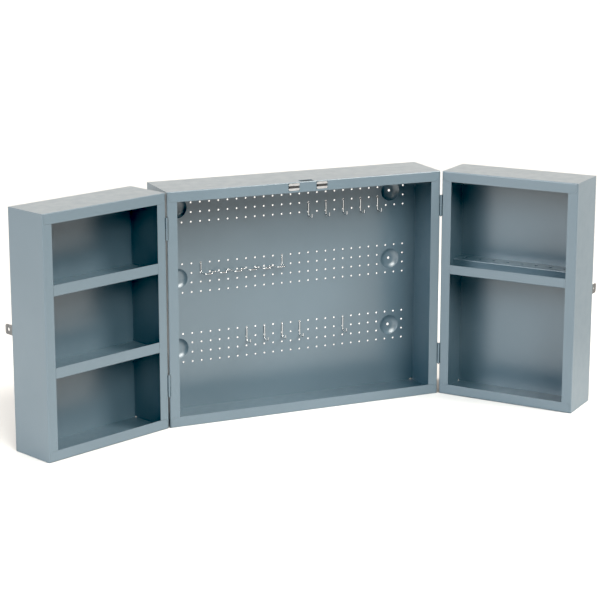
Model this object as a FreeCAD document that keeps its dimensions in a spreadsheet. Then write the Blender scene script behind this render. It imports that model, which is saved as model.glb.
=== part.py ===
import FreeCAD, Part
import collections
import math
import os

import Sketcher

# Steel tool cabinet with two deep doors, modelled with the doors standing open.
# Millimetres and degrees. The origin is the centre of the carcass's bottom face,
# +X is to the right, the front faces -Y and +Z is up.

SIZES = {
    # carcass
    "cab_width": 762.0,
    "cab_height": 609.6,
    "cab_depth": 152.4,
    "sheet": 1.2,
    "bend": 2.4,
    "flange": 26.5,
    "tab_setback": 3.0,
    "tab_round": 12.0,
    "seam": 0.5,
    # doors
    "door_width": 377.8,
    "door_depth": 133.35,
    "door_lift": 0.8,
    "door_gap": 1.0,
    "door_edge": 0.9,
    "left_open": 158.3,
    "right_open": 127.5,
    "relief_long": 6.0,
    "relief_high": 2.5,
    # hinges
    "pin_out": 2.2,
    "pin_radius": 1.4,
    "pin_play": 0.05,
    "pin_tip": 2.0,
    "knuckle_radius": 2.6,
    "knuckle_gap": 0.5,
    "hinge_length": 57.0,
    "leaf_thick": 1.2,
    "leaf_start": 3.7,
    "leaf_end": 26.0,
    "leaf_round": 4.0,
    "hinge_low": 112.0,
    "hinge_high": 517.0,
    "notch": 3.0,
    "notch_play": 1.0,
    # pegboard back
    "back_recess": 8.4,
    "peg_pitch": 25.4,
    "peg_hole": 4.8,
    "peg_columns": 28.0,
    "peg_rows": 4.0,
    "peg_bands": 3.0,
    "band_pitch": 186.5,
    "first_row": 126.0,
    "dish_spread": 609.6,
    "dish_mouth": 54.0,
    "dish_floor": 20.0,
    "screw_hole": 7.0,
    "corner_long": 9.0,
    "corner_high": 2.8,
    # magnetic catches
    "catch_offset": 39.0,
    "catch_wide": 30.0,
    "catch_drop": 3.0,
    "catch_proud": 0.4,
    "catch_deep": 9.0,
    "pole_high": 6.0,
    "pole_chamfer": 2.5,
    "magnet_high": 6.5,
    "magnet_wide": 25.0,
    "window_play": 0.5,
    "bracket_thick": 1.5,
    "bracket_wide": 34.0,
    "bracket_high": 22.0,
    "bracket_foot": 14.0,
    "slot_wide": 37.0,
    "slot_deep": 20.0,
    "slot_back": 4.0,
    # hasp tabs
    "hasp_height": 304.8,
    "hasp_tall": 25.4,
    "hasp_reach": 26.0,
    "hasp_base": 20.0,
    "hasp_thick": 2.0,
    "hasp_hole": 9.0,
    "hasp_round": 6.0,
    # left door shelves
    "shelf_low": 203.4,
    "shelf_high": 405.7,
    "shelf_lip": 27.4,
    # right door tray
    "tray_height": 331.9,
    "tray_lip": 25.2,
    "tray_trough": 78.0,
    "tray_hole": 10.0,
    "tray_holes": 9.0,
    "tray_pitch": 40.6,
    # bent wire
    "wire": 3.2,
    "wire_bend": 5.0,
    "prong_bend": 2.3,
    "prong_rise": 8.0,
    "prong_sag": 0.6,
    "wire_gap": 0.05,
    "prong_gap": 0.4,
    "hook_leg": 38.0,
    "hook_arm": 24.0,
    "hook_tip": 11.0,
    "rack_leg": 25.4,
    "rack_reach": 26.0,
    "rack_notch": 20.0,
    "rack_slot": 17.0,
    "rack_pitch": 40.6,
}

# Peg columns are counted from the left, bands from the bottom, rows from the bottom of a band
HOOK_PLACES = [
    (16, 2, 1),
    (18, 2, 1),
    (20, 2, 1),
    (22, 2, 1),
    (24, 2, 1),
    (9, 0, 3),
    (11, 0, 3),
    (13, 0, 3),
    (15, 0, 3),
    (20, 0, 3),
]
RACK_FIRST_COLUMN = 4
RACK_LAST_COLUMN = 13
RACK_BAND = 1
RACK_ROW = 3
RACK_SLOTS = 5

# A swept wire may differ this much from its section times its length
WIRE_VOLUME_SLACK = 0.02

doc = FreeCAD.newDocument("tool_cabinet")
sheet = doc.addObject("Spreadsheet::Sheet", "Sizes")
nodes = {}

Seat = collections.namedtuple("Seat", "x y z turn")
Case = collections.namedtuple("Case", "seat left front width web height")


class Size:
    """A size that carries its value and the sheet expression that gives it."""

    def __init__(self, value, text):
        self.value = value
        self.text = text

    def __add__(self, other):
        other = size(other)
        return Size(self.value + other.value, f"({self.text} + {other.text})")

    def __sub__(self, other):
        other = size(other)
        return Size(self.value - other.value, f"({self.text} - {other.text})")

    def __mul__(self, other):
        other = size(other)
        return Size(self.value * other.value, f"({self.text} * {other.text})")

    def __truediv__(self, other):
        other = size(other)
        return Size(self.value / other.value, f"({self.text} / {other.text})")

    def __rsub__(self, other):
        return size(other) - self

    def __neg__(self):
        return self * -1

    __radd__ = __add__
    __rmul__ = __mul__


def size(value):
    """A plain number as a Size; a Size stays as it is."""
    if isinstance(value, Size):
        return value
    return Size(float(value), f"({float(value)})")


class Sheet:
    """The driving sizes by name."""

    def __getattr__(self, name):
        return Size(SIZES[name], f"{sheet.Name}.{name}")


def fill_sheet():
    for row, (name, value) in enumerate(SIZES.items(), start=1):
        sheet.set(f"A{row}", name)
        sheet.set(f"B{row}", str(value))
        sheet.setAlias(f"B{row}", name)
    doc.recompute()


fill_sheet()
dims = Sheet()


# Feature helpers

def new_body(label, seat):
    body = doc.addObject("PartDesign::Body", label)
    body.Label = label
    upright = FreeCAD.Rotation(FreeCAD.Vector(0, 0, 1), seat.turn.value)
    body.Placement = FreeCAD.Placement(FreeCAD.Vector(), upright)
    body.setExpression("Placement.Base.x", seat.x.text)
    body.setExpression("Placement.Base.y", seat.y.text)
    body.setExpression("Placement.Base.z", seat.z.text)
    body.setExpression("Placement.Rotation.Angle", seat.turn.text)
    nodes[label] = body
    return body


def new_sketch(body, plane, offset):
    role = {"XY": "XY_Plane", "XZ": "XZ_Plane", "YZ": "YZ_Plane"}[plane]
    support = [item for item in body.Origin.OriginFeatures if item.Role == role][0]
    sketch = body.newObject("Sketcher::SketchObject", f"{body.Name}_sketch")
    sketch.AttachmentSupport = (support, [""])
    sketch.MapMode = "FlatFace"
    # the XZ plane faces -Y, so its offset runs the other way
    along = -size(offset) if plane == "XZ" else size(offset)
    sketch.setExpression("AttachmentOffset.Base.z", along.text)
    return sketch


def tie(sketch, kind, geometry, point, value):
    """Hold one coordinate of a sketch point at a sheet value."""
    value = size(value)
    rule = Sketcher.Constraint(kind, -1, 1, geometry, point, value.value)
    index = sketch.addConstraint(rule)
    sketch.setExpression(f"Constraints[{index}]", value.text)


def polygon_sketch(body, plane, offset, *outlines):
    """Closed straight-sided outlines, each corner tied to the sheet."""
    sketch = new_sketch(body, plane, offset)
    for outline in outlines:
        corners = [(size(x), size(y)) for x, y in outline]
        spots = [FreeCAD.Vector(x.value, y.value, 0) for x, y in corners]
        first = sketch.GeometryCount
        count = len(spots)
        for k in range(count):
            sketch.addGeometry(Part.LineSegment(spots[k], spots[(k + 1) % count]))
        for k in range(count):
            following = first + (k + 1) % count
            sketch.addConstraint(Sketcher.Constraint("Coincident", first + k, 2, following, 1))
        for k, (x, y) in enumerate(corners):
            tie(sketch, "DistanceX", first + k, 1, x)
            tie(sketch, "DistanceY", first + k, 1, y)
    return sketch


def circle_sketch(body, plane, offset, x, y, diameter):
    sketch = new_sketch(body, plane, offset)
    middle = FreeCAD.Vector(size(x).value, size(y).value, 0)
    facing = FreeCAD.Vector(0, 0, 1)
    sketch.addGeometry(Part.Circle(middle, facing, diameter.value / 2))
    tie(sketch, "DistanceX", 0, 3, x)
    tie(sketch, "DistanceY", 0, 3, y)
    index = sketch.addConstraint(Sketcher.Constraint("Diameter", 0, diameter.value))
    sketch.setExpression(f"Constraints[{index}]", diameter.text)
    return sketch


def rectangle(x0, x1, y0, y1):
    return [(x0, y0), (x1, y0), (x1, y1), (x0, y1)]


def pad(body, sketch, length, reverse=False):
    feature = body.newObject("PartDesign::Pad", f"{body.Name}_pad")
    feature.Profile = sketch
    feature.setExpression("Length", size(length).text)
    feature.Reversed = reverse
    doc.recompute()
    return feature


def pocket(body, sketch, length, reverse=False):
    """Cut a pocket, and stop if it took nothing away."""
    before = body.Shape.Volume
    feature = body.newObject("PartDesign::Pocket", f"{body.Name}_pocket")
    feature.Profile = sketch
    feature.setExpression("Length", size(length).text)
    feature.Reversed = reverse
    doc.recompute()
    if body.Shape.Volume >= before:
        raise RuntimeError(f"{feature.Name} cuts nothing")
    return feature


def edge_names(feature, points):
    """The edge whose middle is nearest to each point."""
    edges = feature.Shape.Edges
    names = []
    for x, y, z in points:
        spot = FreeCAD.Vector(size(x).value, size(y).value, size(z).value)
        gaps = [(edge.CenterOfMass - spot).Length for edge in edges]
        nearest = min(range(len(edges)), key=gaps.__getitem__)
        if gaps[nearest] > dims.sheet.value:
            raise RuntimeError(f"{feature.Name} has no edge at {spot}")
        names.append(f"Edge{nearest + 1}")
    return names


def fillet(body, points, radius):
    base = body.Tip
    feature = body.newObject("PartDesign::Fillet", f"{body.Name}_fillet")
    feature.Base = (base, edge_names(base, points))
    feature.setExpression("Radius", size(radius).text)
    doc.recompute()
    return feature


def pattern(body, originals, steps):
    """Repeat features along rows: steps are (axis role, length, occurrences)."""
    multi = body.newObject("PartDesign::MultiTransform", f"{body.Name}_pattern")
    multi.Originals = originals
    rows = []
    for role, length, count in steps:
        row = body.newObject("PartDesign::LinearPattern", f"{body.Name}_row")
        axis = [item for item in body.Origin.OriginFeatures if item.Role == role][0]
        row.Direction = (axis, [""])
        row.setExpression("Length", length.text)
        row.setExpression("Occurrences", count.text)
        rows.append(row)
    multi.Transformations = rows
    body.Tip = multi
    doc.recompute()
    return multi


# Where each group of pieces stands: the doors turn about their hinge pins

half_width = dims.cab_width / 2
front = -(dims.cab_depth / 2)
pin_x = half_width + dims.pin_out
pin_y = front - dims.door_gap / 2
still = Seat(size(0), size(0), size(0), size(0))
left_seat = Seat(-pin_x, pin_y, dims.door_lift, 180 - dims.left_open)
right_seat = Seat(pin_x, pin_y, dims.door_lift, dims.right_open - 180)

door_height = dims.cab_height - 2 * dims.door_lift
door_face = dims.door_gap / 2
door_web = dims.door_depth - dims.sheet

carcass = Case(still, -half_width, front, dims.cab_width, dims.cab_depth, dims.cab_height)
left_door_left = -(dims.pin_out + dims.door_width)
left_door = Case(left_seat, left_door_left, door_face, dims.door_width, door_web, door_height)
right_door = Case(right_seat, dims.pin_out, door_face, dims.door_width, door_web, door_height)


# Folded sheet pieces of a case: the carcass and both doors are built alike

def folded_rail(label, case, at_top):
    """A top or bottom channel, whose flange ends lap round the side flanges."""

    def level(z):
        return case.height - z if at_top else size(z)

    body = new_body(label, case.seat)
    sheet_in = case.front + dims.sheet
    back = case.front + case.web
    right = case.left + case.width
    middle = case.left + case.width / 2
    profile = [
        (case.front, level(0)),
        (back, level(0)),
        (back, level(dims.sheet)),
        (sheet_in, level(dims.sheet)),
        (sheet_in, level(dims.flange)),
        (case.front, level(dims.flange)),
    ]
    pad(body, polygon_sketch(body, "YZ", case.left, profile), case.width)
    fillet(body, [(middle, case.front, level(0))], dims.bend)
    fillet(body, [(middle, sheet_in, level(dims.sheet))], dims.bend - dims.sheet)
    below = level(dims.flange + dims.tab_setback)
    above = level(dims.sheet)
    left_end = rectangle(case.left - dims.tab_setback, case.left + dims.tab_setback, above, below)
    right_end = rectangle(right - dims.tab_setback, right + dims.tab_setback, above, below)
    pocket(body, polygon_sketch(body, "XZ", case.front, left_end, right_end), dims.bend)
    tab_middle = case.front + dims.sheet / 2
    corners = [
        (case.left + dims.tab_setback, tab_middle, level(dims.flange)),
        (right - dims.tab_setback, tab_middle, level(dims.flange)),
    ]
    fillet(body, corners, dims.tab_round)
    return body


def folded_side(label, case, on_right, hinged=False, relieved=False):
    """A side channel between the rails, notched where their flange ends lap it and at its hinges."""

    def across(x):
        return case.left + case.width - x if on_right else case.left + x

    body = new_body(label, case.seat)
    sheet_in = case.front + dims.sheet
    back = case.front + case.web
    profile = [
        (across(0), case.front),
        (across(dims.flange), case.front),
        (across(dims.flange), sheet_in),
        (across(dims.sheet), sheet_in),
        (across(dims.sheet), back),
        (across(0), back),
    ]
    pad(body, polygon_sketch(body, "XY", dims.sheet, profile), case.height - 2 * dims.sheet)
    middle = case.height / 2
    fillet(body, [(across(0), case.front, middle)], dims.bend)
    fillet(body, [(across(dims.sheet), sheet_in, middle)], dims.bend - dims.sheet)
    near = across(dims.tab_setback - dims.seam)
    far = across(dims.flange + dims.tab_setback)
    low = dims.flange + dims.seam
    high = case.height - low
    notches = [rectangle(near, far, 0, low), rectangle(near, far, high, case.height)]
    pocket(body, polygon_sketch(body, "XZ", case.front, *notches), dims.bend)
    tab_middle = case.front + dims.sheet / 2
    corners = [(near, tab_middle, low), (near, tab_middle, high)]
    fillet(body, corners, dims.tab_round + dims.seam)
    if hinged:
        bend_corner = rectangle(across(-dims.notch), across(dims.notch),
                                case.front - dims.notch, case.front + dims.notch)
        length = dims.hinge_length + 2 * dims.notch_play
        for height in (dims.hinge_low, dims.hinge_high):
            top = height - case.seat.z + length / 2
            pocket(body, polygon_sketch(body, "XY", top, bend_corner), length)
    if relieved:
        wall_right = across(0) if on_right else across(dims.sheet)
        slit = rectangle(back - dims.relief_long, back + dims.sheet, 0, dims.sheet + dims.relief_high)
        pocket(body, polygon_sketch(body, "YZ", wall_right, slit), dims.sheet)
    return body


def door_panel(label, case):
    """The flat outer sheet of a door, with its edges eased."""
    body = new_body(label, case.seat)
    outside = case.front + case.web + dims.sheet
    right = case.left + case.width
    middle = case.left + case.width / 2
    face = rectangle(case.left, right, 0, case.height)
    pad(body, polygon_sketch(body, "XZ", outside, face), dims.sheet)
    edges = [
        (middle, outside, 0),
        (middle, outside, case.height),
        (case.left, outside, case.height / 2),
        (right, outside, case.height / 2),
    ]
    fillet(body, edges, dims.door_edge)


def trim_ears(body, case, bottom, high):
    """Cut a shelf front back at both ends, so that its lip fits between the side flanges."""
    right = case.left + case.width
    inner = dims.flange + dims.seam
    low = bottom - dims.sheet
    top = bottom + high + dims.sheet
    ends = [rectangle(case.left, case.left + inner, low, top), rectangle(right - inner, right, low, top)]
    pocket(body, polygon_sketch(body, "XZ", case.front, *ends), dims.bend)


def door_shelf(label, case, bottom):
    """A shelf floor with an upstanding lip level with the door's flanges."""
    body = new_body(label, case.seat)
    sheet_in = case.front + dims.sheet
    back = case.front + case.web
    floor = bottom + dims.sheet
    middle = case.left + case.width / 2
    profile = [
        (case.front, bottom),
        (back, bottom),
        (back, floor),
        (sheet_in, floor),
        (sheet_in, bottom + dims.shelf_lip),
        (case.front, bottom + dims.shelf_lip),
    ]
    outline = polygon_sketch(body, "YZ", case.left + dims.sheet, profile)
    pad(body, outline, case.width - 2 * dims.sheet)
    fillet(body, [(middle, case.front, bottom)], dims.bend)
    fillet(body, [(middle, sheet_in, floor)], dims.bend - dims.sheet)
    trim_ears(body, case, bottom, dims.shelf_lip)


def door_tray(label, case):
    """A two-level tray: a trough behind the lip, then a ledge with a row of tool holes."""
    body = new_body(label, case.seat)
    bottom = dims.tray_height
    sheet_in = case.front + dims.sheet
    back = case.front + case.web
    floor = bottom + dims.sheet
    ledge = bottom + dims.tray_lip
    riser = case.front + dims.tray_trough
    riser_in = riser + dims.sheet
    ledge_under = ledge - dims.sheet
    middle = case.left + case.width / 2
    profile = [
        (case.front, bottom),
        (riser_in, bottom),
        (riser_in, ledge_under),
        (back, ledge_under),
        (back, ledge),
        (riser, ledge),
        (riser, floor),
        (sheet_in, floor),
        (sheet_in, ledge),
        (case.front, ledge),
    ]
    outline = polygon_sketch(body, "YZ", case.left + dims.sheet, profile)
    pad(body, outline, case.width - 2 * dims.sheet)
    outer = [(middle, case.front, bottom), (middle, riser_in, bottom), (middle, riser, ledge)]
    inner = [(middle, sheet_in, floor), (middle, riser, floor), (middle, riser_in, ledge_under)]
    fillet(body, outer, dims.bend)
    fillet(body, inner, dims.bend - dims.sheet)
    trim_ears(body, case, bottom, dims.tray_lip)
    row_length = dims.tray_pitch * (dims.tray_holes - 1)
    hole = circle_sketch(body, "XY", ledge, middle - row_length / 2, (riser + back) / 2, dims.tray_hole)
    first = pocket(body, hole, dims.sheet)
    pattern(body, [first], [("X_Axis", row_length, dims.tray_holes)])


def hasp_tab(label, case, on_right):
    """An angle tab on the outer panel, standing in the plane of the door's free side."""

    def across(x):
        return case.left + case.width - x if on_right else case.left + x

    body = new_body(label, case.seat)
    panel = case.front + case.web + dims.sheet
    tip = panel + dims.hasp_reach
    bottom = dims.hasp_height - dims.door_lift - dims.hasp_tall / 2
    top = bottom + dims.hasp_tall
    profile = [
        (across(0), panel),
        (across(dims.hasp_base), panel),
        (across(dims.hasp_base), panel + dims.hasp_thick),
        (across(dims.hasp_thick), panel + dims.hasp_thick),
        (across(dims.hasp_thick), tip),
        (across(0), tip),
    ]
    pad(body, polygon_sketch(body, "XY", bottom, profile), dims.hasp_tall)
    bend_corner = (across(dims.hasp_thick), panel + dims.hasp_thick, (bottom + top) / 2)
    fillet(body, [bend_corner], dims.hasp_thick)
    tab_middle = across(dims.hasp_thick / 2)
    fillet(body, [(tab_middle, tip, bottom), (tab_middle, tip, top)], dims.hasp_round)
    right_face = across(0) if on_right else across(dims.hasp_thick)
    hole_y = panel + (dims.hasp_reach + dims.hasp_thick) / 2
    hole = circle_sketch(body, "YZ", right_face, hole_y, (bottom + top) / 2, dims.hasp_hole)
    pocket(body, hole, dims.hasp_thick)


# Pegboard back

back_plane = dims.cab_depth / 2
peg_face = back_plane - dims.back_recess
first_column = -(dims.peg_pitch * (dims.peg_columns - 1) / 2)


def end_at(sketch, geometry, spot):
    """Which end of a sketch line or arc lies at a spot: 1 its start, 2 its end."""
    start_gap = (sketch.getPoint(geometry, 1) - spot).Length
    end_gap = (sketch.getPoint(geometry, 2) - spot).Length
    return 1 if start_gap < end_gap else 2


def dish_sketch(body, x, z):
    """Half section of a dished screw point, drawn about its own axis."""
    sketch = new_sketch(body, "YZ", x)
    sketch.setExpression("AttachmentOffset.Base.y", z.text)
    mouth = dims.dish_mouth / 2
    floor = dims.dish_floor / 2
    hole = dims.screw_hole / 2
    run = mouth - floor
    drop = dims.back_recess - dims.sheet
    bowl = (run * run + drop * drop) / (2 * drop)
    corners = [
        (peg_face, mouth),
        (peg_face + dims.sheet, mouth),
        (back_plane, floor),
        (back_plane, hole),
        (back_plane - dims.sheet, hole),
        (back_plane - dims.sheet, floor),
    ]
    spots = [FreeCAD.Vector(y.value, r.value, 0) for y, r in corners]
    count = len(corners)
    for k in range(count):
        start = spots[k]
        end = spots[(k + 1) % count]
        if start.x != end.x and start.y != end.y:
            # the bowl is level where it meets its flat floor
            rim = start if start.y > end.y else end
            bottom = end if start.y > end.y else start
            middle = FreeCAD.Vector(bottom.x - bowl.value, bottom.y, 0)
            half = math.asin((rim.y - bottom.y) / bowl.value) / 2
            belly = middle + FreeCAD.Vector(math.cos(half), math.sin(half), 0) * bowl.value
            sketch.addGeometry(Part.Arc(start, belly, end))
            index = sketch.addConstraint(Sketcher.Constraint("Radius", k, bowl.value))
            sketch.setExpression(f"Constraints[{index}]", bowl.text)
        else:
            sketch.addGeometry(Part.LineSegment(start, end))
    for k in range(count):
        following = (k + 1) % count
        here = end_at(sketch, k, spots[following])
        there = end_at(sketch, following, spots[following])
        sketch.addConstraint(Sketcher.Constraint("Coincident", k, here, following, there))
    for k, (y, r) in enumerate(corners):
        tie(sketch, "DistanceX", k, end_at(sketch, k, spots[k]), y)
        tie(sketch, "DistanceY", k, end_at(sketch, k, spots[k]), r)
    return sketch


def pegboard():
    """A shallow pan with bands of peg holes and six dished screw points."""
    body = new_body("pegboard", still)
    right = half_width - dims.sheet
    top = dims.cab_height - dims.sheet
    outer = rectangle(-right, right, dims.sheet, top)
    inner_right = right - dims.sheet
    inner = rectangle(-inner_right, inner_right, 2 * dims.sheet, top - dims.sheet)
    pad(body, polygon_sketch(body, "XZ", peg_face + dims.sheet, outer), dims.sheet)
    pad(body, polygon_sketch(body, "XZ", back_plane, outer, inner), dims.back_recess - dims.sheet)
    clips = []
    for side in (-1, 1):
        ends = (side * (right - dims.corner_long), side * half_width)
        clips.append(rectangle(*ends, 0, dims.sheet + dims.corner_high))
        clips.append(rectangle(*ends, top - dims.corner_high, dims.cab_height))
    pocket(body, polygon_sketch(body, "XZ", peg_face, *clips), dims.back_recess)
    hole = circle_sketch(body, "XZ", peg_face, first_column, dims.first_row, dims.peg_hole)
    first = pocket(body, hole, dims.sheet)
    steps = [
        ("X_Axis", dims.peg_pitch * (dims.peg_columns - 1), dims.peg_columns),
        ("Z_Axis", dims.peg_pitch * (dims.peg_rows - 1), dims.peg_rows),
        ("Z_Axis", dims.band_pitch * (dims.peg_bands - 1), dims.peg_bands),
    ]
    pattern(body, [first], steps)
    dish_x = -(dims.dish_spread / 2)
    dish_z = dims.first_row + dims.peg_pitch * (dims.peg_rows - 1) / 2
    mouth = pocket(body, circle_sketch(body, "XZ", peg_face, dish_x, dish_z, dims.dish_mouth), dims.sheet)
    dish = body.newObject("PartDesign::Revolution", "pegboard_dish")
    section = dish_sketch(body, dish_x, dish_z)
    dish.Profile = section
    dish.ReferenceAxis = (section, ["H_Axis"])
    dish.Angle = 360
    doc.recompute()
    steps = [
        ("X_Axis", dims.dish_spread, size(2)),
        ("Z_Axis", dims.band_pitch * (dims.peg_bands - 1), dims.peg_bands),
    ]
    pattern(body, [mouth, dish], steps)


# Magnetic catches

catch_top = dims.cab_height - dims.catch_drop
catch_high = 2 * dims.pole_high + dims.magnet_high
catch_front = front - dims.catch_proud
catch_back = catch_front + dims.catch_deep


def cut_catch_openings(body):
    """Two windows in the flange for the catches, and the slot between them in the top."""
    windows = []
    for side in (-1, 1):
        middle = side * dims.catch_offset
        half = dims.catch_wide / 2 + dims.window_play
        low = catch_top - catch_high - dims.window_play
        windows.append(rectangle(middle - half, middle + half, low, catch_top + dims.window_play))
    pocket(body, polygon_sketch(body, "XZ", front, *windows), dims.bend)
    slot_front = front + dims.slot_back
    slot_half = dims.slot_wide / 2
    slot = rectangle(-slot_half, slot_half, slot_front, slot_front + dims.slot_deep)
    pocket(body, polygon_sketch(body, "XY", dims.cab_height, slot), dims.sheet)


def pole_plate(label, middle, inner, outer):
    """A pole plate whose outer corners are cut off; inner is the side at the magnet."""
    body = new_body(label, still)
    half = dims.catch_wide / 2
    toward = 1 if outer.value > inner.value else -1
    shoulder = outer - toward * dims.pole_chamfer
    outline = [
        (middle - half, inner),
        (middle + half, inner),
        (middle + half, shoulder),
        (middle + half - dims.pole_chamfer, outer),
        (middle - half + dims.pole_chamfer, outer),
        (middle - half, shoulder),
    ]
    pad(body, polygon_sketch(body, "XZ", catch_back, outline), dims.catch_deep)


def catch(name, side):
    """One catch: a magnet between two pole plates, on a bracket under the top."""
    middle = side * dims.catch_offset
    magnet_top = catch_top - dims.pole_high
    magnet_low = magnet_top - dims.magnet_high
    pole_plate(f"{name}_upper_pole", middle, magnet_top, catch_top)
    pole_plate(f"{name}_lower_pole", middle, magnet_low, catch_top - catch_high)
    magnet = new_body(f"{name}_magnet", still)
    half = dims.magnet_wide / 2
    block = rectangle(middle - half, middle + half, magnet_low, magnet_top)
    depth = dims.catch_deep - dims.catch_proud
    pad(magnet, polygon_sketch(magnet, "XZ", catch_back, block), depth)
    bracket = new_body(f"{name}_bracket", still)
    top = dims.cab_height - dims.sheet
    plate_back = catch_back + dims.bracket_thick
    foot_back = catch_back + dims.bracket_foot
    under = top - dims.bracket_thick
    profile = [
        (catch_back, top - dims.bracket_high),
        (plate_back, top - dims.bracket_high),
        (plate_back, under),
        (foot_back, under),
        (foot_back, top),
        (catch_back, top),
    ]
    start = middle - dims.bracket_wide / 2
    pad(bracket, polygon_sketch(bracket, "YZ", start, profile), dims.bracket_wide)
    fillet(bracket, [(middle, catch_back, top)], dims.bend)
    fillet(bracket, [(middle, plate_back, under)], dims.bend - dims.bracket_thick)


# Hinges

half_hinge = dims.hinge_length / 2


def hinge_leaf(label, seat, side, upper, bore):
    """A leaf flat on the wall at one side of the pin, with a knuckle on half of its height."""
    body = new_body(label, seat)
    wall = side * dims.pin_out
    outside = side * (dims.pin_out - dims.leaf_thick)
    plate = rectangle(outside, wall, dims.leaf_start, dims.leaf_end)
    pad(body, polygon_sketch(body, "XY", -half_hinge, plate), dims.hinge_length)
    plate_middle = (outside + wall) / 2
    corners = [(plate_middle, dims.leaf_end, -half_hinge), (plate_middle, dims.leaf_end, half_hinge)]
    fillet(body, corners, dims.leaf_round)
    start = dims.knuckle_gap / 2 if upper else -half_hinge
    length = half_hinge - dims.knuckle_gap / 2
    neck = rectangle(outside, wall, 0, dims.leaf_start)
    pad(body, polygon_sketch(body, "XY", start, neck), length)
    pad(body, circle_sketch(body, "XY", start, 0, 0, 2 * dims.knuckle_radius), length)
    pocket(body, circle_sketch(body, "XY", start, 0, 0, 2 * bore), length, reverse=True)


def hinge_pin(label, seat):
    """A round pin whose tapered tip shows under the lower knuckle."""
    body = new_body(label, seat)
    tip = -half_hinge - dims.pin_tip
    profile = [
        (0, tip),
        (dims.pin_radius / 2, tip),
        (dims.pin_radius, tip + dims.pin_radius / 2),
        (dims.pin_radius, half_hinge),
        (0, half_hinge),
    ]
    sketch = polygon_sketch(body, "XZ", 0, profile)
    turn = body.newObject("PartDesign::Revolution", f"{label}_turn")
    turn.Profile = sketch
    turn.ReferenceAxis = (sketch, ["V_Axis"])
    turn.Angle = 360
    doc.recompute()


def hinge(name, door_seat, side, height):
    """One hinge: the carcass leaf holds the pin, and the door leaf turns on it."""
    fixed = Seat(door_seat.x, door_seat.y, height, size(0))
    moving = Seat(door_seat.x, door_seat.y, height, door_seat.turn)
    hinge_leaf(f"{name}_carcass_leaf", fixed, -side, False, dims.pin_radius)
    hinge_leaf(f"{name}_door_leaf", moving, side, True, dims.pin_radius + dims.pin_play)
    hinge_pin(f"{name}_pin", fixed)


# Bent wire accessories on the pegboard

def bent_wire(label, corners, radii):
    """A round wire along straight runs joined by tangent arcs."""
    points = [FreeCAD.Vector(*corner) for corner in corners]
    edges = []
    start = points[0]
    for k, radius in enumerate(radii, start=1):
        arriving = (points[k] - points[k - 1]).normalize()
        leaving = (points[k + 1] - points[k]).normalize()
        half_turn = arriving.getAngle(leaving) / 2
        reach = radius * math.tan(half_turn)
        inward = (leaving - arriving).normalize()
        arc_start = points[k] - arriving * reach
        arc_end = points[k] + leaving * reach
        arc_middle = points[k] + inward * (radius / math.cos(half_turn) - radius)
        edges.append(Part.LineSegment(start, arc_start).toShape())
        edges.append(Part.Arc(arc_start, arc_middle, arc_end).toShape())
        start = arc_end
    edges.append(Part.LineSegment(start, points[-1]).toShape())
    path = Part.Wire(edges)
    radius = dims.wire.value / 2
    section = Part.Wire(Part.Circle(points[0], points[1] - points[0], radius).toShape())
    shape = path.makePipeShell([section], True, False)
    expected = math.pi * radius ** 2 * path.Length
    if abs(shape.Volume / expected - 1) > WIRE_VOLUME_SLACK:
        raise RuntimeError(f"{label} has volume {shape.Volume}, not {expected}")
    feature = doc.addObject("Part::Feature", label)
    feature.Label = label
    feature.Shape = shape
    nodes[label] = feature


def peg_spot(column, band, row):
    """The centre of a peg hole in the pegboard's front face."""
    x = first_column + dims.peg_pitch * column
    z = dims.first_row + dims.band_pitch * band + dims.peg_pitch * row
    return x.value, z.value


wire_radius = dims.wire / 2
behind = (peg_face + dims.sheet + wire_radius + dims.prong_gap).value
against = (peg_face - wire_radius - dims.wire_gap).value


def prong(x, z):
    """Wire corners from the free end behind the board to the front of the hole."""
    level = z - dims.prong_sag.value
    return [(x, behind, z + dims.prong_rise.value), (x, behind, level), (x, against, level)]


def peg_hook(label, column, band, row):
    """A hook that drops from its hole, reaches forward and turns up at its tip."""
    x, z = peg_spot(column, band, row)
    low = z - dims.hook_leg.value
    out = against - dims.hook_arm.value
    corners = prong(x, z) + [(x, against, low), (x, out, low), (x, out, low + dims.hook_tip.value)]
    bends = [dims.prong_bend.value] * 2 + [dims.wire_bend.value] * 2
    bent_wire(label, corners, bends)


def screwdriver_rack(label):
    """One wire between two peg holes, with open notches along its front rail."""
    left_x, z = peg_spot(RACK_FIRST_COLUMN, RACK_BAND, RACK_ROW)
    right_x, z = peg_spot(RACK_LAST_COLUMN, RACK_BAND, RACK_ROW)
    low = z - dims.rack_leg.value
    rail = against - dims.rack_reach.value
    notch = rail + dims.rack_notch.value
    half = dims.rack_slot.value / 2
    corners = prong(left_x, z) + [(left_x, against, low), (left_x, rail, low)]
    for k in range(RACK_SLOTS):
        x = (left_x + right_x) / 2 + dims.rack_pitch.value * (k - (RACK_SLOTS - 1) / 2)
        corners += [(x - half, rail, low), (x - half, notch, low)]
        corners += [(x + half, notch, low), (x + half, rail, low)]
    corners += [(right_x, rail, low), (right_x, against, low)] + prong(right_x, z)[::-1]
    inner_bends = len(corners) - 2
    bends = [dims.wire_bend.value] * inner_bends
    bends[:2] = [dims.prong_bend.value] * 2
    bends[-2:] = [dims.prong_bend.value] * 2
    bent_wire(label, corners, bends)


# The cabinet

def build_carcass():
    top = folded_rail("carcass_top", carcass, True)
    cut_catch_openings(top)
    folded_rail("carcass_bottom", carcass, False)
    folded_side("carcass_left_side", carcass, False, hinged=True)
    folded_side("carcass_right_side", carcass, True, hinged=True)
    pegboard()
    catch("left_catch", -1)
    catch("right_catch", 1)
    for number, place in enumerate(HOOK_PLACES, start=1):
        peg_hook(f"peg_hook_{number}", *place)
    screwdriver_rack("screwdriver_rack")


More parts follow.
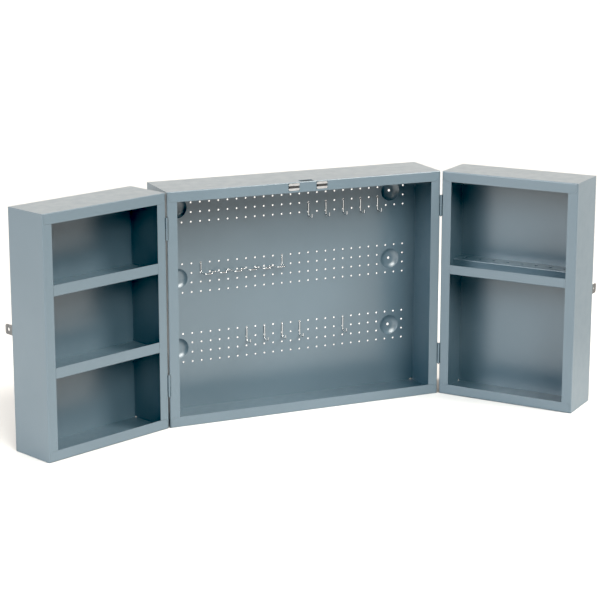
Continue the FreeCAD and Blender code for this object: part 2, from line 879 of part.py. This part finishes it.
def build_door(name, case, hinge_on_right):
    """A door's shell; side is where the door lies from its pins when folded flat open."""
    side = -1 if hinge_on_right else 1
    folded_rail(f"{name}_top", case, True)
    folded_rail(f"{name}_bottom", case, False)
    folded_side(f"{name}_hinge_side", case, hinge_on_right, hinged=True, relieved=True)
    folded_side(f"{name}_free_side", case, not hinge_on_right)
    door_panel(f"{name}_panel", case)
    hasp_tab(f"{name}_hasp_tab", case, not hinge_on_right)
    hinge(f"{name}_lower_hinge", case.seat, side, dims.hinge_low)
    hinge(f"{name}_upper_hinge", case.seat, side, dims.hinge_high)


def check_and_export():
    """Stop at any failed object or bad shape, then write one file for each node."""
    doc.recompute()
    for item in doc.Objects:
        if "Invalid" in item.State or "Error" in item.State:
            raise RuntimeError(f"{item.Label} failed: {item.State}")
    for label, item in nodes.items():
        if item.Shape.isNull() or not item.Shape.isValid():
            raise RuntimeError(f"{label} has no valid shape")
    os.makedirs("parts", exist_ok=True)
    for label, item in nodes.items():
        item.Shape.exportStep(f"parts/{label}.step")
        print(f"{label}: {len(item.Shape.Solids)} solid, {item.Shape.Volume:.0f} mm3")


build_carcass()
build_door("left_door", left_door, True)
door_shelf("left_door_lower_shelf", left_door, dims.shelf_low)
door_shelf("left_door_upper_shelf", left_door, dims.shelf_high)
build_door("right_door", right_door, False)
door_tray("right_door_tray", right_door)
check_and_export()
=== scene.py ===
import math

import bpy
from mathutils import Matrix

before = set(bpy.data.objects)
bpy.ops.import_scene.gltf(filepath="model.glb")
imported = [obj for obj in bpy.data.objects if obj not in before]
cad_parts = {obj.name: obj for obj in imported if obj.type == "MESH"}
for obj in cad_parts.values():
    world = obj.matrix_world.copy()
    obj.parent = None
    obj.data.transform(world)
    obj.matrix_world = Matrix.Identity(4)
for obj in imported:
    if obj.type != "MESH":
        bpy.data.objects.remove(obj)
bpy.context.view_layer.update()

# Camera: place in metres, view angles in degrees, frame width and focal length in millimetres,
# and how far the lens is lowered, as a share of the frame
CAMERA_PLACE = (-1.8162, -4.2090, 1.4373)
CAMERA_AZIMUTH = -23.46
CAMERA_ELEVATION = 12.26
FRAME_WIDTH = 36
FOCAL_LENGTH = 107.94
LENS_LOWERED = 0.1

# Suns: tilt from overhead, turn to the right and spread in degrees, then strength and colour
SUNS = {
    "overhead": (10, 0, 35, 0.75, (1.0, 1.0, 0.97)),
    "front": (55, 0, 35, 3.5, (1.0, 1.0, 0.95)),
    "right": (45, 50, 20, 3.3, (1.05, 1.0, 0.93)),
    "left": (65, -70, 35, 2.5, (0.94, 1.0, 1.03)),
}

# Room: dim ahead of the part and bright behind it, with a pale band round the horizon.
# Each term is an axis, where along it the strength starts and ends to change, and its two values
ROOM_WHITE = (1.11, 1.0, 0.90, 1)
ROOM_TERMS = [
    ("Y", -0.3, 0.3, 0.10, 1.05),
    ("Z", 0.10, 0.18, 0.85, 0.0),
]
BLACK_LEVEL = 0.038

# Floor: white near the part, greyer to its right and behind it, and greyest far ahead of it; the
# grey is painted shade, standing in for floor out of the light.
# Each fade is the way that it runs, and where it starts and ends in metres
FLOOR_WHITE = (0.62, 0.62, 0.62, 1)
FLOOR_PAINTED_SHADE = (0.42, 0.42, 0.42, 1)
FLOOR_FAR_PAINTED_SHADE = (0.29, 0.29, 0.29, 1)
FADE_RIGHT = ((0.839, -0.545, 0.0), 0.8, 1.3)
FADE_BEHIND = ((0.0, 1.0, 0.0), 0.6, 1.3)
FADE_AHEAD = ((0.0, -1.0, 0.0), 1.3, 3.6)
FLOOR_ROUGHNESS = 0.9
FLOOR_REACH = 40

# Noises are given as scale and detail, and remapped from where most of their values lie.
# Depths and radii are in metres
NOISE_SPAN = (0.35, 0.65)
TONE_SPAN = (0.3, 0.7)

# Paint: blue-grey satin enamel
PAINT_DARK = (0.077, 0.113, 0.140, 1)
PAINT_LIGHT = (0.083, 0.120, 0.148, 1)
PAINT_CLOUDS = (7, 4)
PAINT_GLOSS = (0.30, 0.35)
PAINT_SMEARS = (38, 5)
PAINT_IOR = 1.85
WAVES = (6, 0)
WAVE_DEPTH = 0.00006
PEEL = (650, 1)
PEEL_DEPTH = 0.00001

# Paint at sharp edges, thinner and paler in places; the paler colour is also a painted highlight
# along the edges
EDGE_THIN_PAINT_AND_HIGHLIGHT = (0.120, 0.155, 0.175, 1)
EDGE_RADIUS = 0.0012
EDGE_REACH = 0.82
EDGE_SAMPLES = 6
EDGE_PATCHES = (90, 2)
EDGE_WEAR_AND_HIGHLIGHT = (0.25, 0.8)

# Metals: dark and light tone, range of roughness, and how the streaks are stretched
ALONG_X = (70, 900, 900)
ALONG_Z = (900, 900, 60)
WIRE = ((0.58, 0.585, 0.59, 1), (0.70, 0.705, 0.71, 1), (0.05, 0.10), ALONG_Z)
ZINC = ((0.62, 0.63, 0.64, 1), (0.78, 0.79, 0.80, 1), (0.10, 0.18), ALONG_Z)
STEEL = ((0.15, 0.155, 0.16, 1), (0.22, 0.225, 0.23, 1), (0.36, 0.50), ALONG_X)
METAL_CLOUDS = (160, 4)
STREAKS = (1, 3)
STREAK_DEPTH = 0.00002
WIRE_PIECES = ("peg_hook", "screwdriver_rack")

# Ferrite of the catch magnets
FERRITE_DARK = (0.012, 0.012, 0.013, 1)
FERRITE_LIGHT = (0.045, 0.045, 0.047, 1)
FERRITE_SPAN = (0.3, 0.75)
FERRITE_GLOSS = (0.50, 0.75)
FERRITE_GRAIN = (1400, 3)
PIT_DEPTH = 0.00006


class Surface:
    """A node material with short ways to add nodes and link them to its shader."""

    def __init__(self, name):
        self.material = bpy.data.materials.new(name)
        self.material.use_nodes = True
        self.nodes = self.material.node_tree.nodes
        self.links = self.material.node_tree.links
        self.shader = self.nodes["Principled BSDF"]
        self.place = self.add("ShaderNodeTexCoord").outputs["Object"]

    def add(self, kind, **settings):
        node = self.nodes.new(kind)
        for name, value in settings.items():
            setattr(node, name, value)
        return node

    def feed(self, node, **inputs):
        """Set the node's inputs, named with _ for a space, to numbers or to other nodes' outputs."""
        for name, value in inputs.items():
            socket = node.inputs[name.replace("_", " ")]
            if isinstance(value, bpy.types.NodeSocket):
                self.links.new(value, socket)
            else:
                socket.default_value = value
        return node

    def stretched(self, scale):
        """The object's coordinates, stretched along each axis."""
        mapping = self.feed(self.add("ShaderNodeMapping"), Vector=self.place, Scale=scale)
        return mapping.outputs["Vector"]

    def noise(self, scale, detail, place=None):
        node = self.add("ShaderNodeTexNoise")
        self.feed(node, Vector=place or self.place, Scale=scale, Detail=detail)
        return node.outputs["Fac"]

    def remap(self, value, low, high, span=NOISE_SPAN):
        """Take value from the span to low..high."""
        start, end = span
        node = self.add("ShaderNodeMapRange")
        self.feed(node, Value=value, From_Min=start, From_Max=end, To_Min=low, To_Max=high)
        return node.outputs["Result"]

    def tones(self, value, dark, light, span=TONE_SPAN):
        """Colours from dark to light as value crosses the span."""
        ramp = self.feed(self.add("ShaderNodeValToRGB"), Fac=value)
        for element, spot, colour in zip(ramp.color_ramp.elements, span, (dark, light)):
            element.position = spot
            element.color = colour
        return ramp.outputs["Color"]

    def mixed(self, share, first, second):
        node = self.add("ShaderNodeMixRGB")
        return self.feed(node, Fac=share, Color1=first, Color2=second).outputs["Color"]

    def product(self, first, second):
        node = self.add("ShaderNodeMath", operation="MULTIPLY")
        self.links.new(first, node.inputs[0])
        self.links.new(second, node.inputs[1])
        return node.outputs["Value"]

    def edges(self, radius, reach):
        """1 at sharp edges and 0 on faces, from how far a rounded normal turns from the true one."""
        rounded = self.feed(self.add("ShaderNodeBevel", samples=EDGE_SAMPLES), Radius=radius)
        normal = self.add("ShaderNodeNewGeometry").outputs["Normal"]
        dot = self.add("ShaderNodeVectorMath", operation="DOT_PRODUCT")
        self.links.new(rounded.outputs["Normal"], dot.inputs[0])
        self.links.new(normal, dot.inputs[1])
        return self.remap(dot.outputs["Value"], 1, 0, span=(reach, 1))

    def bump(self, height, depth, below=None):
        """A bump of the given depth, over another bump's normal."""
        node = self.feed(self.add("ShaderNodeBump"), Height=height, Strength=1, Distance=depth)
        if below:
            self.links.new(below, node.inputs["Normal"])
        return node.outputs["Normal"]


def paint(name):
    """Stoved enamel on folded sheet: orange peel, soft waves, cloudy tone, thin pale edges that are
    partly a painted highlight.
    """
    surface = Surface(name)
    tone = surface.tones(surface.noise(*PAINT_CLOUDS), PAINT_DARK, PAINT_LIGHT)
    wear = surface.remap(surface.noise(*EDGE_PATCHES), *EDGE_WEAR_AND_HIGHLIGHT)
    # Paler edges: thinner paint, and a painted highlight along every sharp edge
    worn_and_highlit = surface.product(surface.edges(EDGE_RADIUS, EDGE_REACH), wear)
    colour = surface.mixed(worn_and_highlit, tone, EDGE_THIN_PAINT_AND_HIGHLIGHT)
    gloss = surface.remap(surface.noise(*PAINT_SMEARS), *PAINT_GLOSS)
    waves = surface.bump(surface.noise(*WAVES), WAVE_DEPTH)
    peel = surface.bump(surface.noise(*PEEL), PEEL_DEPTH, below=waves)
    surface.feed(surface.shader, Base_Color=colour, Roughness=gloss, Normal=peel, IOR=PAINT_IOR)
    return surface.material


def plated(name, dark, light, gloss, grain):
    """Plated or bare steel: metal with fine streaks along one way and slightly cloudy tone."""
    surface = Surface(name)
    tone = surface.tones(surface.noise(*METAL_CLOUDS), dark, light)
    streaks = surface.noise(*STREAKS, place=surface.stretched(grain))
    roughness = surface.remap(streaks, *gloss)
    normal = surface.bump(streaks, STREAK_DEPTH)
    surface.feed(surface.shader, Base_Color=tone, Metallic=1, Roughness=roughness, Normal=normal)
    return surface.material


def ferrite(name):
    """Pressed ferrite: near black with a fine pitted grain."""
    surface = Surface(name)
    grain = surface.noise(*FERRITE_GRAIN)
    tone = surface.tones(grain, FERRITE_DARK, FERRITE_LIGHT, span=FERRITE_SPAN)
    gloss = surface.remap(grain, *FERRITE_GLOSS)
    pits = surface.bump(grain, PIT_DEPTH)
    surface.feed(surface.shader, Base_Color=tone, Roughness=gloss, Normal=pits)
    return surface.material


def dress(nodes):
    """Give every node its finish: the wire pieces by name, the others by the record's slot."""
    wire = plated("bright_wire", *WIRE)
    finishes = {
        "paint": paint("enamel"),
        "zinc": plated("bright_zinc", *ZINC),
        "steel": plated("dull_steel", *STEEL),
        "magnet": ferrite("ferrite"),
    }
    for name, piece in nodes.items():
        for slot in piece.material_slots:
            if name.startswith(WIRE_PIECES):
                slot.material = wire
            else:
                slot.material = finishes[slot.material.name.split(".")[0]]


def faded(surface, way, start, end):
    """A share that falls from 1 to 0 along a way over the floor."""
    along = surface.add("ShaderNodeVectorMath", operation="DOT_PRODUCT")
    surface.links.new(surface.place, along.inputs[0])
    along.inputs[1].default_value = way
    return surface.remap(along.outputs["Value"], 1, 0, span=(start, end))


def lay_floor():
    """A pale floor, whitest near the part, with painted shade greying it to the right, behind and
    far ahead.
    """
    bpy.ops.mesh.primitive_plane_add(size=2 * FLOOR_REACH)
    floor = bpy.context.object
    floor.name = "floor"
    surface = Surface("floor_with_painted_shade")
    # Painted shade: the floor turns grey to the right, behind and far ahead, as if out of the light
    beside = surface.product(faded(surface, *FADE_RIGHT), faded(surface, *FADE_BEHIND))
    near = surface.mixed(beside, FLOOR_PAINTED_SHADE, FLOOR_WHITE)
    colour = surface.mixed(faded(surface, *FADE_AHEAD), FLOOR_FAR_PAINTED_SHADE, near)
    surface.feed(surface.shader, Base_Color=colour, Roughness=FLOOR_ROUGHNESS)
    floor.data.materials.append(surface.material)


def add_sun(name, tilt, turn, spread, strength, colour):
    lamp = bpy.data.lights.new(name, "SUN")
    lamp.energy = strength
    lamp.color = colour
    lamp.angle = math.radians(spread)
    light = bpy.data.objects.new(name, lamp)
    light.rotation_euler = (math.radians(tilt), 0, math.radians(turn))
    bpy.context.scene.collection.objects.link(light)


def light_room():
    """A white room whose strength in each direction is the sum of its two terms."""
    world = bpy.data.worlds.new("white_room")
    world.use_nodes = True
    nodes = world.node_tree.nodes
    links = world.node_tree.links
    background = nodes["Background"]
    background.inputs["Color"].default_value = ROOM_WHITE
    towards = nodes.new("ShaderNodeSeparateXYZ")
    links.new(nodes.new("ShaderNodeTexCoord").outputs["Generated"], towards.inputs["Vector"])
    strength = nodes.new("ShaderNodeMath")
    strength.operation = "ADD"
    for term, (axis, start, end, before, after) in enumerate(ROOM_TERMS):
        ramp = nodes.new("ShaderNodeMapRange")
        ramp.inputs["From Min"].default_value = start
        ramp.inputs["From Max"].default_value = end
        ramp.inputs["To Min"].default_value = before
        ramp.inputs["To Max"].default_value = after
        links.new(towards.outputs[axis], ramp.inputs["Value"])
        links.new(ramp.outputs["Result"], strength.inputs[term])
    links.new(strength.outputs["Value"], background.inputs["Strength"])
    bpy.context.scene.world = world


def light_studio():
    """Light the room and the suns, and show the darkest tones as black."""
    light_room()
    for name, settings in SUNS.items():
        add_sun(name, *settings)
    view = bpy.context.scene.view_settings
    view.view_transform = "Standard"
    view.use_curve_mapping = True
    view.curve_mapping.black_level = [BLACK_LEVEL] * 3
    view.curve_mapping.update()


def place_camera():
    """A long lens at the photograph's angle, lowered to frame the part above the middle."""
    lens = bpy.data.cameras.new("camera")
    lens.sensor_width = FRAME_WIDTH
    lens.lens = FOCAL_LENGTH
    lens.shift_y = -LENS_LOWERED
    camera = bpy.data.objects.new("camera", lens)
    bpy.context.scene.collection.objects.link(camera)
    camera.location = CAMERA_PLACE
    camera.rotation_euler = (math.radians(90 - CAMERA_ELEVATION), 0, math.radians(CAMERA_AZIMUTH))
    bpy.context.scene.camera = camera


dress(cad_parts)
lay_floor()
light_studio()
place_camera()
